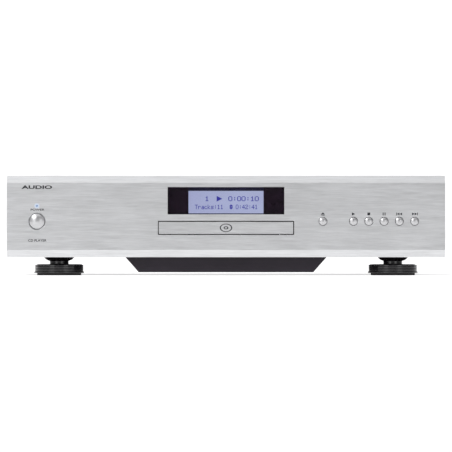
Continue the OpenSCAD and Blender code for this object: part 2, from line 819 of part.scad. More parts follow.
// Two thin flanges either side of the groove that the belt runs in.
module pulley_groove(r) {
    cylinder_between(r, belt_z - 1, belt_z + 1);
    cylinder_between(r + 1.6, belt_z - 1.2, belt_z - 0.9);
    cylinder_between(r + 1.6, belt_z + 0.9, belt_z + 1.8);
}

module motor_pulley() {
    color("gold") translate([pulley_x, pulley_y + belt_run, 0]) difference() {
        pulley_groove(motor_pulley_r);
        cylinder_between(1 + axle_gap, 0, 60);
    }
}

// Points on the loop round two circles on the Y axis, the larger one at the origin.
function loop_points(r0, r1, run) =
    let (tilt = asin((r0 - r1) / run), steps = 24)
    concat(
        [for (i = [0:steps]) let (a = 180 - tilt + (180 + 2 * tilt) * i / steps) r0 * [cos(a), sin(a)]],
        [for (i = [0:steps]) let (a = tilt + (180 - 2 * tilt)
            * i / steps) [0, run] + r1 * [cos(a), sin(a)]]);

module drive_belt() {
    gap = 0.3;
    color("black") translate([pulley_x, pulley_y, belt_z - belt_t / 2]) difference() {
        linear_extrude(belt_t)
            polygon(loop_points(pulley_r + gap + belt_t, motor_pulley_r + gap + belt_t, belt_run));
        translate([0, 0, -1]) linear_extrude(4)
            polygon(loop_points(pulley_r + gap, motor_pulley_r + gap, belt_run));
    }
}

// Direct-current motor hung under the loader floor, with its shaft up through it.
module loading_motor() {
    color("silver") translate([pulley_x, pulley_y + belt_run, 0]) {
        cylinder_between(11, 6, loader_floor_z);
        cylinder_between(3, loader_floor_z, loader_floor_z + 2.5);
        cylinder_between(1, loader_floor_z + 2.5, belt_z + 2);
    }
}

// Slide with two sloping slots. Moving it to the right lifts the pins of the lift frame.
module cam_slider() {
    pin_rest_z = pivot_z - cam_lift;
    slot_r = pin_r + 0.35;
    slope = atan2(cam_lift, -cam_travel);
    length = sqrt(cam_travel * cam_travel + cam_lift * cam_lift);
    color("ivory") difference() {
        box([-24, cam_y, loader_floor_z + 2.2], [37, cam_y + cam_t, 40]);
        for (x = pin_x) translate([x, cam_y - 1, pin_rest_z]) rotate([90, 0, 0]) mirror([0, 0, 1])
            linear_extrude(cam_t + 2) {
                rotate(slope) translate([0, 0.05 - slot_r]) square([length, 2 * slot_r - 0.1]);
                circle(r = slot_r);
                translate([-cam_travel, cam_lift]) circle(r = slot_r);
            }
    }
}

// Hinged plastic frame with four ledges for the rubber dampers and two cam pins at its front.
module lift_frame() {
    front = pin_y;
    color([0.25, 0.25, 0.27]) lowered() {
        difference() {
            box([-43, front, 32], [43, pivot_y + 4, 38.4]);
            box([-38.5, front + 4, 31], [38.5, pivot_y - 2.5, 39]);
        }
        for (sx = [-1, 1], y = [front + 4, pivot_y - 14.5])
            box([sx > 0 ? 27 : -38.5, y, 32], [sx > 0 ? 38.5 : -27, y + 12, 33.5]);
        for (s = [-1, 1]) rod_x(pivot_y, pivot_z, 2.5, s * 46.4 - 3.4, s * 46.4 + 3.4);
        for (x = pin_x) rod_y(x, pivot_z, pin_r, front - 10.5, front);
    }
}

module dampers() {
    color("black") lowered() for (x = [-32, 32], y = [pin_y + 10, pivot_y - 8.5])
        rod_z(x, y, 4.5, 33.5, plate_z);
}

module sub_chassis() {
    color("silver") lowered() difference() {
        box([-37.8, pin_y + 4.6, plate_z], [37.8, pivot_y - 3, plate_z + plate_t]);
        box([-23.5, disc_y + 13, plate_z - 1], [23.5, 6, plate_z + plate_t + 1]);
        rod_z(0, disc_y, 3, plate_z - 1, plate_z + plate_t + 1);
    }
}

// Two ground rods, each held under the plate by a block at either end.
module guide_rods() {
    color("silver") lowered() for (s = [-1, 1]) {
        rod_y(s * guide_x, guide_z, guide_r, disc_y + 6, 10);
        for (y = [disc_y + 7, 9])
            box([s * guide_x - 2.5, y - 1, guide_z + 1], [s * guide_x + 2.5, y + 1, plate_z]);
    }
}

module spindle_motor() {
    color("silver") lowered() difference() {
        rod_z(0, disc_y, 12, 28, plate_z);
        rod_z(0, disc_y, 1 + axle_gap, 29, plate_z + 1);
    }
}

// Turntable with a centring cone, on the shaft of the spindle motor.
module turntable() {
    seat = 48.1;
    rim_t = 2.5;
    hub_r = 7.4;
    hub_h = 1.2;
    neck_z = plate_z + plate_t + 0.5;
    color("dimgray") lowered() {
        rod_z(0, disc_y, 15, seat - rim_t, seat);
        rod_z(0, disc_y, hub_r, seat, seat + hub_h);
        translate([0, disc_y, seat + hub_h]) cylinder(r1 = hub_r, r2 = hub_r - 1.8, h = 1.2);
        rod_z(0, disc_y, 4, neck_z, seat - rim_t);
        rod_z(0, disc_y, 1, 30, neck_z);
    }
}

// Laser pickup: a cast body that runs on both rods and carries a rack on its right side.
module pickup_sled() {
    y0 = sled_y - 9.5;
    y1 = y0 + 32;
    color([0.3, 0.3, 0.33]) lowered() {
        difference() {
            union() {
                box([-15, y0, 29], [17, y1, 40.5]);
                box([16, y0, 31], [23.2, y1, 37]);
                box([-23, y0 + 8, 36], [-14, y1 - 10, 37.5]);
                box([-23, y0 + 8, 30.5], [-14, y1 - 10, 32]);
            }
            rod_y(guide_x, guide_z, guide_r + axle_gap, y0 - 1, y1 + 1);
            rod_z(0, sled_y, 6.2, 38, 42);
        }
        translate([sled_rack_x, sled_gear_y, 0]) mirror([1, 0, 0]) rack(sled_m, -16, 1, 1.8, 34.8, 37);
    }
}

module objective_lens() {
    color("lightsteelblue") lowered() {
        rod_z(0, sled_y, 5, 39.2, 43);
        translate([0, sled_y, 43]) cylinder(r1 = 4, r2 = 3, h = 0.8);
    }
}

// Compound gear between the pinion and the rack on the sled.
module sled_gear() {
    color("ivory") lowered() translate([sled_gear_x, sled_gear_y, 0]) difference() {
        union() {
            gear(sled_m, sled_teeth, 180, 34.6, 37.2);
            cylinder_between(4, 33, 34.6);
            gear(sled_low_m, sled_low_teeth, 90, 31, 33);
        }
        cylinder_between(1 + axle_gap, 30, 50);
    }
}

module sled_pinion() {
    color("gold") lowered() translate([sled_gear_x, sled_motor_y, 0]) difference() {
        gear(sled_low_m, sled_pinion_teeth, 270 + 180 / sled_pinion_teeth, 31, 33.2);
        cylinder_between(0.75 + axle_gap, 30, 50);
    }
}

// Small motor on a strap from the plate, with the fixed axle of the gear that it turns.
module sled_motor() {
    color("silver") lowered() {
        translate([sled_gear_x, sled_motor_y, 0]) {
            cylinder_between(6, 16, 29.6);
            cylinder_between(0.75, 30.4, 33.6);
        }
        box([sled_gear_x - 6, sled_gear_y - 5, 29.6], [37.6, sled_motor_y + 6, 30.4]);
        box([36.8, sled_motor_y + 1, 30.4], [37.6, sled_motor_y + 6, plate_z]);
        translate([sled_gear_x, sled_gear_y, 0]) cylinder_between(1, 30.4, plate_z);
    }
}

// ---------- one module for each repeated piece ----------

module eject_button() { color("whitesmoke") transport_button(eject_x); }
module play_button() { color("whitesmoke") transport_button(transport_x[4]); }
module stop_button() { color("whitesmoke") transport_button(transport_x[3]); }
module pause_button() { color("whitesmoke") transport_button(transport_x[2]); }
module previous_button() { color("whitesmoke") transport_button(transport_x[1]); }
module next_button() { color("whitesmoke") transport_button(transport_x[0]); }
module foot_front_left() { color("dimgray") foot(foot_places[0]); }
module foot_front_right() { color("dimgray") foot(foot_places[1]); }
module foot_rear_left() { color("dimgray") foot(foot_places[2]); }
module foot_rear_right() { color("dimgray") foot(foot_places[3]); }

front_panel();
display_window();
lcd_frame();
lcd_panel();
front_board();
front_bracket();
button_guide();
power_button();
power_switch();
power_led();
eject_button();
play_button();
stop_button();
pause_button();
previous_button();
next_button();
top_cover();
base_plate();
belly_pan();
rear_panel();
foot_front_left();
foot_front_right();
foot_rear_left();
foot_rear_right();
foot_pads();
foot_screws();
screws();
transformer();
transformer_clamp();
main_board();
capacitors();
heat_sink();
phono_jacks();
coaxial_jack();
power_inlet();
link_jacks();
serial_jack();
ribbon_cable();
loader_frame();
clamp_bridge();
clamper();
disc_tray();
tray_door();
drive_gear();
pulley_gear();
motor_pulley();
drive_belt();
loading_motor();
cam_slider();
lift_frame();
dampers();
sub_chassis();
guide_rods();
spindle_motor();
turntable();
pickup_sled();
objective_lens();
sled_gear();
sled_pinion();
sled_motor();
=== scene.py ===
"""Looks of a full-width disc player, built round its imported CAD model. Lengths are in metres."""
import json
import math

import bmesh
import bpy
from mathutils import Matrix, Vector


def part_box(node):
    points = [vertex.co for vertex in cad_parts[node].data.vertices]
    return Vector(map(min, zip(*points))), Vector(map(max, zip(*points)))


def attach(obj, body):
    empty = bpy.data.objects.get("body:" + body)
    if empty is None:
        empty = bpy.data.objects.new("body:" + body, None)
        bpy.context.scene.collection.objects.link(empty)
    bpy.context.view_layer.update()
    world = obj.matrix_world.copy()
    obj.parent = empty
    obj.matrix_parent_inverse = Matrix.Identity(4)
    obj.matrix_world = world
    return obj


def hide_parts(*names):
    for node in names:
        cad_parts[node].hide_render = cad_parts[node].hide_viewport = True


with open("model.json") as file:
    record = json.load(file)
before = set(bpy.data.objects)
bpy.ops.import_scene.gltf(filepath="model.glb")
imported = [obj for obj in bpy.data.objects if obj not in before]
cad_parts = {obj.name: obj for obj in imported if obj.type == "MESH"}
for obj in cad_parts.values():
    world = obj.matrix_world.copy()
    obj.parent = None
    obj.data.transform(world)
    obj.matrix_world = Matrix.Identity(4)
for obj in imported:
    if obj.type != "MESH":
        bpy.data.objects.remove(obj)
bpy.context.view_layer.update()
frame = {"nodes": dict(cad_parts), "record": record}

MM = 0.001

WELD = 0.001 * MM
ON_AXIS = 1e-7
SHARP_ANGLE = 32
INK_THICK = 0.03 * MM
BACKWARD = (0, 1, 0)
UP = (0, 0, 1)


# ---------------------------------------------------------------- places taken from the frame

def corners(node):
    """Lowest corner, highest corner and centre of a CAD node."""
    low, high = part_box(node)
    return low, high, (low + high) / 2


def box_of(points):
    """Lowest and highest corners of some points."""
    low = Vector([min(point[i] for point in points) for i in range(3)])
    high = Vector([max(point[i] for point in points) for i in range(3)])
    return low, high


def front_part(node):
    """Lowest and highest corners of the part of a node that faces the front."""
    low, _, _ = corners(node)
    depth = 0.05 * MM
    return box_of([v.co for v in frame["nodes"][node].data.vertices if v.co.y < low.y + depth])


PANEL_LOW, PANEL_HIGH, _ = corners("front_panel")
FACE_Y = PANEL_LOW.y
REAR_Y = corners("rear_panel")[1].y
SLOT_OF = {row["node"]: row["material_slot"] for row in frame["record"]["subparts"]}
BODY_OF = {node: body for body, nodes in frame["record"]["behaviour"]["bodies"].items() for node in nodes}


# ---------------------------------------------------------------- material building

class Surface:
    """A Principled material with noise in the object's own metres."""

    def __init__(self, name, colour, metallic=0.0, roughness=0.5, **sockets):
        self.material = bpy.data.materials.new(name)
        self.material.use_nodes = True
        self.nodes = self.material.node_tree.nodes
        self.links = self.material.node_tree.links
        self.shader = self.nodes["Principled BSDF"]
        self.put("Base Color", (*colour, 1.0))
        self.put("Metallic", metallic)
        self.put("Roughness", roughness)
        for socket, value in sockets.items():
            self.put(socket.replace("_", " "), value)
        self.place = self.nodes.new("ShaderNodeTexCoord").outputs["Object"]

    def put(self, socket, value):
        self.shader.inputs[socket].default_value = value

    def mapped(self, scale):
        mapping = self.nodes.new("ShaderNodeMapping")
        mapping.inputs["Scale"].default_value = scale
        self.links.new(self.place, mapping.inputs["Vector"])
        return mapping.outputs["Vector"]

    def noise(self, scale, detail=3.0, roughness=0.55):
        """Noise whose features are about 1/scale metres long on each axis."""
        node = self.nodes.new("ShaderNodeTexNoise")
        node.inputs["Scale"].default_value = 1.0
        node.inputs["Detail"].default_value = detail
        node.inputs["Roughness"].default_value = roughness
        self.links.new(self.mapped(scale), node.inputs["Vector"])
        return node.outputs["Fac"]

    def even_noise(self, scale, detail=3.0):
        """Noise with the same scale on every axis."""
        return self.noise((scale, scale, scale), detail)

    def mean(self, first, second):
        node = self.nodes.new("ShaderNodeMix")
        self.links.new(first, node.inputs["A"])
        self.links.new(second, node.inputs["B"])
        return node.outputs["Result"]

    def ramp(self, fac, low, high, start=0.3, end=0.7):
        """A colour that goes from low to high as the noise goes from start to end."""
        node = self.nodes.new("ShaderNodeValToRGB")
        first, last = node.color_ramp.elements
        first.position = start
        first.color = (*low, 1.0)
        last.position = end
        last.color = (*high, 1.0)
        self.links.new(fac, node.inputs["Fac"])
        return node.outputs["Color"]

    def grey(self, fac, low, high, start=0.3, end=0.7):
        """A number that goes from low to high as the noise goes from start to end."""
        node = self.nodes.new("ShaderNodeMapRange")
        node.inputs["From Min"].default_value = start
        node.inputs["From Max"].default_value = end
        node.inputs["To Min"].default_value = low
        node.inputs["To Max"].default_value = high
        self.links.new(fac, node.inputs["Value"])
        return node.outputs["Result"]

    def colour_by(self, fac, low, high, start=0.3, end=0.7):
        self.links.new(self.ramp(fac, low, high, start, end), self.shader.inputs["Base Color"])

    def roughness_by(self, fac, low, high, start=0.3, end=0.7):
        self.links.new(self.grey(fac, low, high, start, end), self.shader.inputs["Roughness"])

    def bump_by(self, fac, depth, strength):
        node = self.nodes.new("ShaderNodeBump")
        node.inputs["Strength"].default_value = strength
        node.inputs["Distance"].default_value = depth
        self.links.new(fac, node.inputs["Height"])
        self.links.new(node.outputs["Normal"], self.shader.inputs["Normal"])


def shades(colour, spread):
    """A darker and a lighter version of a colour."""
    dark = tuple(c * (1 - spread) for c in colour)
    light = tuple(min(1.0, c * (1 + spread)) for c in colour)
    return dark, light


def brushed(name, colour, roughness, spread=0.12):
    """Sheet metal with scratches along X: short fine ones over long faint ones."""
    surface = Surface(name, colour, metallic=1.0, roughness=roughness)
    along = 75.0
    across = 1150.0
    coarser = 2.6
    short = surface.noise((along, across, across), detail=5.0, roughness=0.7)
    long_scale = (along / coarser, across / coarser, across / coarser)
    long = surface.noise(long_scale, detail=3.0, roughness=0.6)
    streaks = surface.mean(short, long)
    surface.colour_by(streaks, *shades(colour, spread), 0.34, 0.66)
    surface.roughness_by(streaks, roughness - 0.05, roughness + 0.07)
    hairlines = surface.noise((along * 3, across * 4, across * 4), detail=2.0)
    surface.bump_by(hairlines, 0.006 * MM, 0.25)
    return surface.material


def turned(name, colour, roughness, metallic=1.0, spread=0.04):
    """Metal with a fine, even satin."""
    surface = Surface(name, colour, metallic=metallic, roughness=roughness)
    cloud = surface.even_noise(900, detail=2.0)
    surface.colour_by(cloud, *shades(colour, spread))
    surface.roughness_by(cloud, roughness - 0.04, roughness + 0.05)
    surface.bump_by(surface.even_noise(2500), 0.004 * MM, 0.3)
    return surface.material


def powder_coat(name, colour, roughness=0.5, **sockets):
    """Baked paint with a fine orange peel."""
    surface = Surface(name, colour, roughness=roughness, **sockets)
    peel = surface.even_noise(1400)
    surface.colour_by(surface.even_noise(60), *shades(colour, 0.12))
    surface.roughness_by(peel, roughness - 0.06, roughness + 0.1)
    surface.bump_by(peel, 0.05 * MM, 0.6)
    return surface.material


def moulded(name, colour, roughness=0.45, grain=0.03 * MM, **sockets):
    """Moulded plastic with a fine spark-eroded grain."""
    surface = Surface(name, colour, roughness=roughness, **sockets)
    grains = surface.even_noise(2200, detail=2.0)
    surface.colour_by(surface.even_noise(45), *shades(colour, 0.07))
    surface.roughness_by(grains, roughness - 0.05, roughness + 0.08)
    surface.bump_by(grains, grain, 0.5)
    return surface.material


def polished(name, colour, roughness, **sockets):
    """Gloss plastic or lacquer with faint handling marks."""
    surface = Surface(name, colour, roughness=roughness, **sockets)
    marks = surface.noise((70, 260, 260), detail=6.0, roughness=0.7)
    surface.colour_by(marks, *shades(colour, 0.1))
    surface.roughness_by(marks, roughness - 0.04, roughness + 0.1, 0.35, 0.8)
    return surface.material


def rubber(name, colour):
    """Soft rubber with fine pores."""
    surface = Surface(name, colour, roughness=0.8)
    pores = surface.even_noise(1100, detail=4.0)
    surface.colour_by(surface.even_noise(90), *shades(colour, 0.2))
    surface.roughness_by(pores, 0.7, 0.9)
    surface.bump_by(pores, 0.06 * MM, 0.6)
    return surface.material


def circuit_board(name, mask, copper):
    """Solder mask over a net of slightly raised tracks."""
    surface = Surface(name, mask, roughness=0.35)
    net = surface.nodes.new("ShaderNodeTexBrick")
    net.inputs["Scale"].default_value = 1.0
    net.inputs["Mortar Size"].default_value = 0.06
    net.inputs["Color1"].default_value = (*mask, 1)
    net.inputs["Color2"].default_value = (*shades(mask, 0.12)[0], 1)
    net.inputs["Mortar"].default_value = (*copper, 1)
    surface.links.new(surface.mapped((260, 260, 260)), net.inputs["Vector"])
    surface.links.new(net.outputs["Color"], surface.shader.inputs["Base Color"])
    surface.bump_by(net.outputs["Fac"], 0.035 * MM, 0.5)
    return surface.material


def winding(name, colour):
    """Copper wire under clear tape, wound round a ring."""
    surface = Surface(name, colour, metallic=0.6, roughness=0.3, Coat_Weight=0.6)
    turns = surface.noise((500, 500, 25), detail=1.0)
    surface.colour_by(turns, *shades(colour, 0.3))
    surface.bump_by(turns, 0.2 * MM, 0.6)
    return surface.material


def glowing(name, colour, low, high, scale):
    """A lit surface whose glow drifts a little from place to place."""
    surface = Surface(name, colour, roughness=0.35, Emission_Strength=1.0)
    glow = surface.ramp(surface.noise(scale, detail=1.0), low, high, 0.25, 0.75)
    surface.links.new(glow, surface.shader.inputs["Emission Color"])
    return surface.material


def clear(name, colour, ior=1.49):
    """Clear plastic or glass."""
    roughness = 0.02
    surface = Surface(name, colour, roughness=roughness, IOR=ior, Transmission_Weight=1.0)
    surface.roughness_by(surface.even_noise(80, detail=5.0), roughness, roughness + 0.03)
    return surface.material


# Material slots of the record first, then the ones that only the looks use.
RECIPES = {
    "silver_panel": (brushed, dict(colour=(0.61, 0.615, 0.625), roughness=0.36)),
    "silver_door": (brushed, dict(colour=(0.60, 0.605, 0.615), roughness=0.34)),
    "silver_button": (turned, dict(colour=(0.52, 0.52, 0.53), roughness=0.38)),
    "window": (clear, dict(colour=(0.78, 0.74, 0.80), ior=1.22)),
    "lcd": (glowing, dict(colour=(0.05, 0.06, 0.09), low=(0.40, 0.46, 0.66), high=(0.46, 0.54, 0.73),
                          scale=(18, 18, 40))),
    "lamp": (glowing, dict(colour=(0.03, 0.05, 0.10), low=(0.18, 0.27, 0.42), high=(0.24, 0.34, 0.52),
                           scale=(600, 600, 600))),
    "dark_plastic": (moulded, dict(colour=(0.02, 0.02, 0.022))),
    "socket_plastic": (polished, dict(colour=(0.02, 0.02, 0.02), roughness=0.3)),
    "board": (circuit_board, dict(mask=(0.012, 0.085, 0.035), copper=(0.03, 0.16, 0.07))),
    "zinc_steel": (brushed, dict(colour=(0.52, 0.52, 0.50), roughness=0.42, spread=0.1)),
    "black_cover": (powder_coat, dict(colour=(0.016, 0.016, 0.017))),
    "belly": (powder_coat, dict(colour=(0.016, 0.012, 0.018), roughness=0.42, Specular_IOR_Level=0.25)),
    "foot_gloss": (polished, dict(colour=(0.010, 0.009, 0.011), roughness=0.16, Coat_Weight=0.25)),
    "foot_rubber": (rubber, dict(colour=(0.014, 0.013, 0.014))),
    "screw_steel": (turned, dict(colour=(0.5, 0.5, 0.5), roughness=0.28)),
    "screw_black": (turned, dict(colour=(0.03, 0.03, 0.03), roughness=0.35)),
    "winding": (winding, dict(colour=(0.36, 0.17, 0.04))),
    "sleeve": (polished, dict(colour=(0.012, 0.018, 0.06), roughness=0.3)),
    "black_anodised": (turned, dict(colour=(0.02, 0.02, 0.02), roughness=0.4, metallic=0.6)),
    "gold": (turned, dict(colour=(0.83, 0.58, 0.24), roughness=0.16)),
    "cable": (moulded, dict(colour=(0.55, 0.55, 0.56), roughness=0.4)),
    "loader_plastic": (moulded, dict(colour=(0.022, 0.022, 0.024))),
    "tray_plastic": (moulded, dict(colour=(0.028, 0.028, 0.03), roughness=0.5, grain=0.05 * MM)),
    "white_plastic": (moulded, dict(colour=(0.68, 0.66, 0.58), roughness=0.4)),
    "brass": (turned, dict(colour=(0.68, 0.48, 0.18), roughness=0.25)),
    "belt_rubber": (rubber, dict(colour=(0.012, 0.012, 0.012))),
    "damper_rubber": (rubber, dict(colour=(0.02, 0.02, 0.026))),
    "motor_steel": (brushed, dict(colour=(0.5, 0.5, 0.5), roughness=0.35, spread=0.08)),
    "turntable_plastic": (moulded, dict(colour=(0.04, 0.04, 0.045))),
    "sled_body": (turned, dict(colour=(0.20, 0.20, 0.21), roughness=0.5, spread=0.12)),
    "lens": (clear, dict(colour=(0.75, 0.85, 0.95))),
    "mask": (polished, dict(colour=(0.014, 0.005, 0.015), roughness=0.5, Specular_IOR_Level=0.1)),
    "lcd_bezel": (polished, dict(colour=(0.022, 0.022, 0.052), roughness=0.5, Specular_IOR_Level=0.1)),
    "lcd_ink": (glowing, dict(colour=(0.02, 0.02, 0.1), low=(0.018, 0.018, 0.28), high=(0.028, 0.028, 0.34),
                              scale=(90, 90, 90))),
    # Painted light: the glow of the power lamp on the panel round it, drawn as a ring that emits light
    # itself.
    "lamp_halo": (glowing, dict(colour=(0.10, 0.11, 0.13), low=(0.46, 0.52, 0.62), high=(0.50, 0.56, 0.66),
                                scale=(300, 300, 300))),
    "ink": (moulded, dict(colour=(0.02, 0.02, 0.024), roughness=0.6, Specular_IOR_Level=0.2)),
    "soft_ink": (moulded, dict(colour=(0.06, 0.06, 0.066), roughness=0.6, Specular_IOR_Level=0.2)),
    "white_ink": (moulded, dict(colour=(0.55, 0.55, 0.55), roughness=0.6)),
    "chip_plastic": (moulded, dict(colour=(0.02, 0.02, 0.021), roughness=0.5)),
    "red_plastic": (moulded, dict(colour=(0.45, 0.02, 0.015), roughness=0.35)),
    "pale_plastic": (moulded, dict(colour=(0.7, 0.7, 0.7), roughness=0.35)),
    "orange_plastic": (moulded, dict(colour=(0.6, 0.16, 0.01), roughness=0.35)),
}
MATERIALS = {name: make(name, **settings) for name, (make, settings) in RECIPES.items()}


# ---------------------------------------------------------------- mesh building

def shade(bm, angle):
    """Smooth faces, with an edge kept sharp where its faces meet at more than the angle."""
    limit = math.radians(angle)
    for face in bm.faces:
        face.smooth = True
    for edge in bm.edges:
        edge.smooth = len(edge.link_faces) == 2 and edge.calc_face_angle(0.0) < limit


def add_piece(name, bm, material, body, stands_for=(), angle=SHARP_ANGLE):
    """Turns a bmesh into a piece of the object."""
    bmesh.ops.recalc_face_normals(bm, faces=bm.faces)
    shade(bm, angle)
    mesh = bpy.data.meshes.new(name)
    bm.to_mesh(mesh)
    bm.free()
    mesh.materials.append(MATERIALS[material])
    piece = bpy.data.objects.new(name, mesh)
    bpy.context.scene.collection.objects.link(piece)
    flatten = piece.modifiers.new("flatten", "WEIGHTED_NORMAL")
    flatten.keep_sharp = True
    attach(piece, body)
    if stands_for:
        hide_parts(*stands_for)


def add_look(node, bm, angle=SHARP_ANGLE):
    """Turns a bmesh into the piece that stands for a CAD node, in the node's own finish."""
    slot = SLOT_OF[node]
    add_piece(node + "_look", bm, slot, BODY_OF[node], [node], angle)


def solid_mesh(node):
    """A welded copy of a CAD node's mesh."""
    bm = bmesh.new()
    bm.from_mesh(frame["nodes"][node].data)
    bmesh.ops.remove_doubles(bm, verts=bm.verts, dist=WELD)
    return bm


def refined(node, width):
    """The CAD solid with its sharp edges broken."""
    bm = solid_mesh(node)
    flat_enough = math.radians(0.3)
    bmesh.ops.dissolve_limit(bm, angle_limit=flat_enough, verts=bm.verts, edges=bm.edges)
    if width:
        limit = math.radians(SHARP_ANGLE)
        sharp = [e for e in bm.edges if len(e.link_faces) == 2 and e.calc_face_angle(0.0) > limit]
        bmesh.ops.bevel(bm, geom=sharp, offset=width, segments=2, profile=0.5, affect="EDGES",
                        clamp_overlap=True)
    add_look(node, bm)


def circle(radius, height, steps):
    """Points of a level circle about Z."""
    angles = [math.tau * i / steps for i in range(steps)]
    return [Vector((radius * math.cos(a), radius * math.sin(a), height)) for a in angles]


def arc(radius, centre, start, end, steps=6):
    """Profile points on an arc, as (radius, height) pairs; the angles are in degrees."""
    angles = [math.radians(start + (end - start) * i / steps) for i in range(steps + 1)]
    return [(centre[0] + radius * math.cos(a), centre[1] + radius * math.sin(a)) for a in angles]


def wall(bm, low, high):
    """Faces between two rings of vertices, either of which may be a single vertex."""
    steps = max(len(low), len(high))
    for i in range(steps):
        j = (i + 1) % steps
        loop = [low[i % len(low)], low[j % len(low)], high[j % len(high)], high[i % len(high)]]
        unique = list(dict.fromkeys(loop))
        if len(unique) > 2:
            bm.faces.new(unique)


def turn(bm, profile, matrix, steps=64, closed=False):
    """Revolves (radius, height) points about Z and then places them with the matrix."""
    rings = []
    for radius, height in profile:
        points = circle(radius, height, steps) if radius > ON_AXIS else [Vector((0, 0, height))]
        rings.append([bm.verts.new(point) for point in points])
    for low, high in zip(rings, rings[1:]):
        wall(bm, low, high)
    if closed:
        wall(bm, rings[-1], rings[0])
    else:
        for ring in (rings[0], rings[-1]):
            if len(ring) > 1:
                bm.faces.new(ring)
    bmesh.ops.transform(bm, matrix=matrix, verts=[v for ring in rings for v in ring])


def towards(axis, at):
    """A matrix that turns +Z to the axis and moves to a place."""
    spin = Vector(UP).rotation_difference(Vector(axis)).to_matrix().to_4x4()
    return Matrix.Translation(at) @ spin


def block(bm, low, high):
    """A box from its two corners."""
    made = bmesh.ops.create_cube(bm, size=1.0)["verts"]
    for vert in made:
        vert.co = Vector([low[i] if vert.co[i] < 0 else high[i] for i in range(3)])
    return made


def bevelled_block(bm, low, high, width):
    """A box from its two corners, with its edges broken."""
    made = block(bm, low, high)
    edges = list({edge for vert in made for edge in vert.link_edges})
    bmesh.ops.bevel(bm, geom=edges, offset=width, segments=2, profile=0.5, affect="EDGES")


def flat_shape(bm, outline, y, thick):
    """A thin plate from an (x, z) outline, its back on a plane that faces the front."""
    front = [bm.verts.new((x, y - thick, z)) for x, z in outline]
    back = [bm.verts.new((x, y, z)) for x, z in outline]
    bm.faces.new(front)
    bm.faces.new(back[::-1])
    wall(bm, back, front)


def flat_ring(bm, centre, y, inner, outer, steps, stretch=1.0):
    """A thin flat ring on a plane that faces the front, made wider by the stretch; used for print on the
    door and for the painted glow round the lamp.
    """
    profile = [(inner, 0), (outer, 0), (outer, -INK_THICK), (inner, -INK_THICK)]
    place = towards(BACKWARD, (centre.x, y, centre.z)) @ Matrix.Diagonal((stretch, 1, 1, 1))
    turn(bm, profile, place, steps, closed=True)


def triangle(x, z, half, tip):
    """An outline of a triangle that points along tip: +1 right, -1 left."""
    return [(x - tip * half, z - half), (x + tip * half, z), (x - tip * half, z + half)]


def bar(x, z, wide, tall):
    """An outline of a rectangle about its centre."""
    left = x - wide / 2
    right = x + wide / 2
    bottom = z - tall / 2
    top = z + tall / 2
    return [(left, bottom), (right, bottom), (right, top), (left, top)]


# ---------------------------------------------------------------- lettering

def letters(name, text, weight):
    """Flat letters in the built-in font; the weight thickens their strokes."""
    curve = bpy.data.curves.new(name, "FONT")
    curve.body = text
    curve.resolution_u = 6
    curve.offset = weight
    draft = bpy.data.objects.new(name + "_draft", curve)
    bpy.context.scene.collection.objects.link(draft)
    bpy.context.view_layer.update()
    mesh = bpy.data.meshes.new_from_object(draft.evaluated_get(bpy.context.evaluated_depsgraph_get()))
    bpy.data.objects.remove(draft)
    bpy.data.curves.remove(curve)
    bm = bmesh.new()
    bm.from_mesh(mesh)
    bpy.data.meshes.remove(mesh)
    bmesh.ops.remove_doubles(bm, verts=bm.verts, dist=WELD)
    return bm


def lettering(name, text, centre, size, material, y=FACE_Y, facing=-1, weight=0.0):
    """Printed letters of a given width and height on the front (facing -1) or the back (facing 1)."""
    bm = letters(name, text, weight)
    low, high = box_of([v.co for v in bm.verts])
    wide = high.x - low.x
    tall = high.y - low.y
    out = bmesh.ops.extrude_face_region(bm, geom=list(bm.faces), use_keep_orig=True)
    raised = {v for v in out["geom"] if isinstance(v, bmesh.types.BMVert)}
    for vert in bm.verts:
        across = (vert.co.x - low.x) / wide - 0.5
        up = (vert.co.y - low.y) / tall - 0.5
        depth = INK_THICK if vert in raised else 0.0
        x = centre[0] - facing * across * size[0]
        z = centre[1] + up * size[1]
        vert.co = Vector((x, y + facing * depth, z))
    add_piece(name, bm, material, "cabinet")


# ---------------------------------------------------------------- dot-matrix display

# Rows of each character from the top, five cells wide; "#" is a solid block.
GLYPHS = {
    "0": "01110 10001 10001 10001 10001 10001 01110",
    "1": "00100 01100 00100 00100 00100 00100 01110",
    "2": "01110 10001 00001 00110 01000 10000 11111",
    "4": "00010 00110 01010 10010 11111 00010 00010",
    "T": "11111 00100 00100 00100 00100 00100 00100",
    "a": "00000 00000 01110 00001 01111 10001 01111",
    "c": "00000 00000 01110 10000 10000 10001 01110",
    "k": "10000 10000 10010 10100 11000 10100 10010",
    "r": "00000 00000 10110 11001 10000 10000 10000",
    "s": "00000 00000 01111 10000 01110 00001 11110",
    ":": "00000 00100 00100 00000 00100 00100 00000",
    "#": "01110 11111 11011 11011 11011 11111 01110",
}

LCD_WIDE = 73.7 * MM
LCD_TALL = 22.1 * MM
LCD_INK_THICK = 0.02 * MM
LCD_INK_GAP = 0.01 * MM

# Heights are above the middle of the display.
BIG_TOP = 5.7 * MM
BIG_CELL = (0.78 * MM, 0.67 * MM)
BIG_PITCH = 4.33 * MM
SMALL_TOP = -2.5 * MM
SMALL_CELL = (0.53 * MM, 0.62 * MM)
SMALL_PITCH = 3.13 * MM
PLAY_ARROW = (-6.4 * MM, 3.35 * MM, 2.8 * MM)
BIG_WORDS = {"1": -20.6 * MM, "0:00:10": 2.3 * MM}
SMALL_WORDS = {"Tracks:11": -30.5 * MM, "0:42:41": 9.6 * MM, "#": 3.7 * MM}


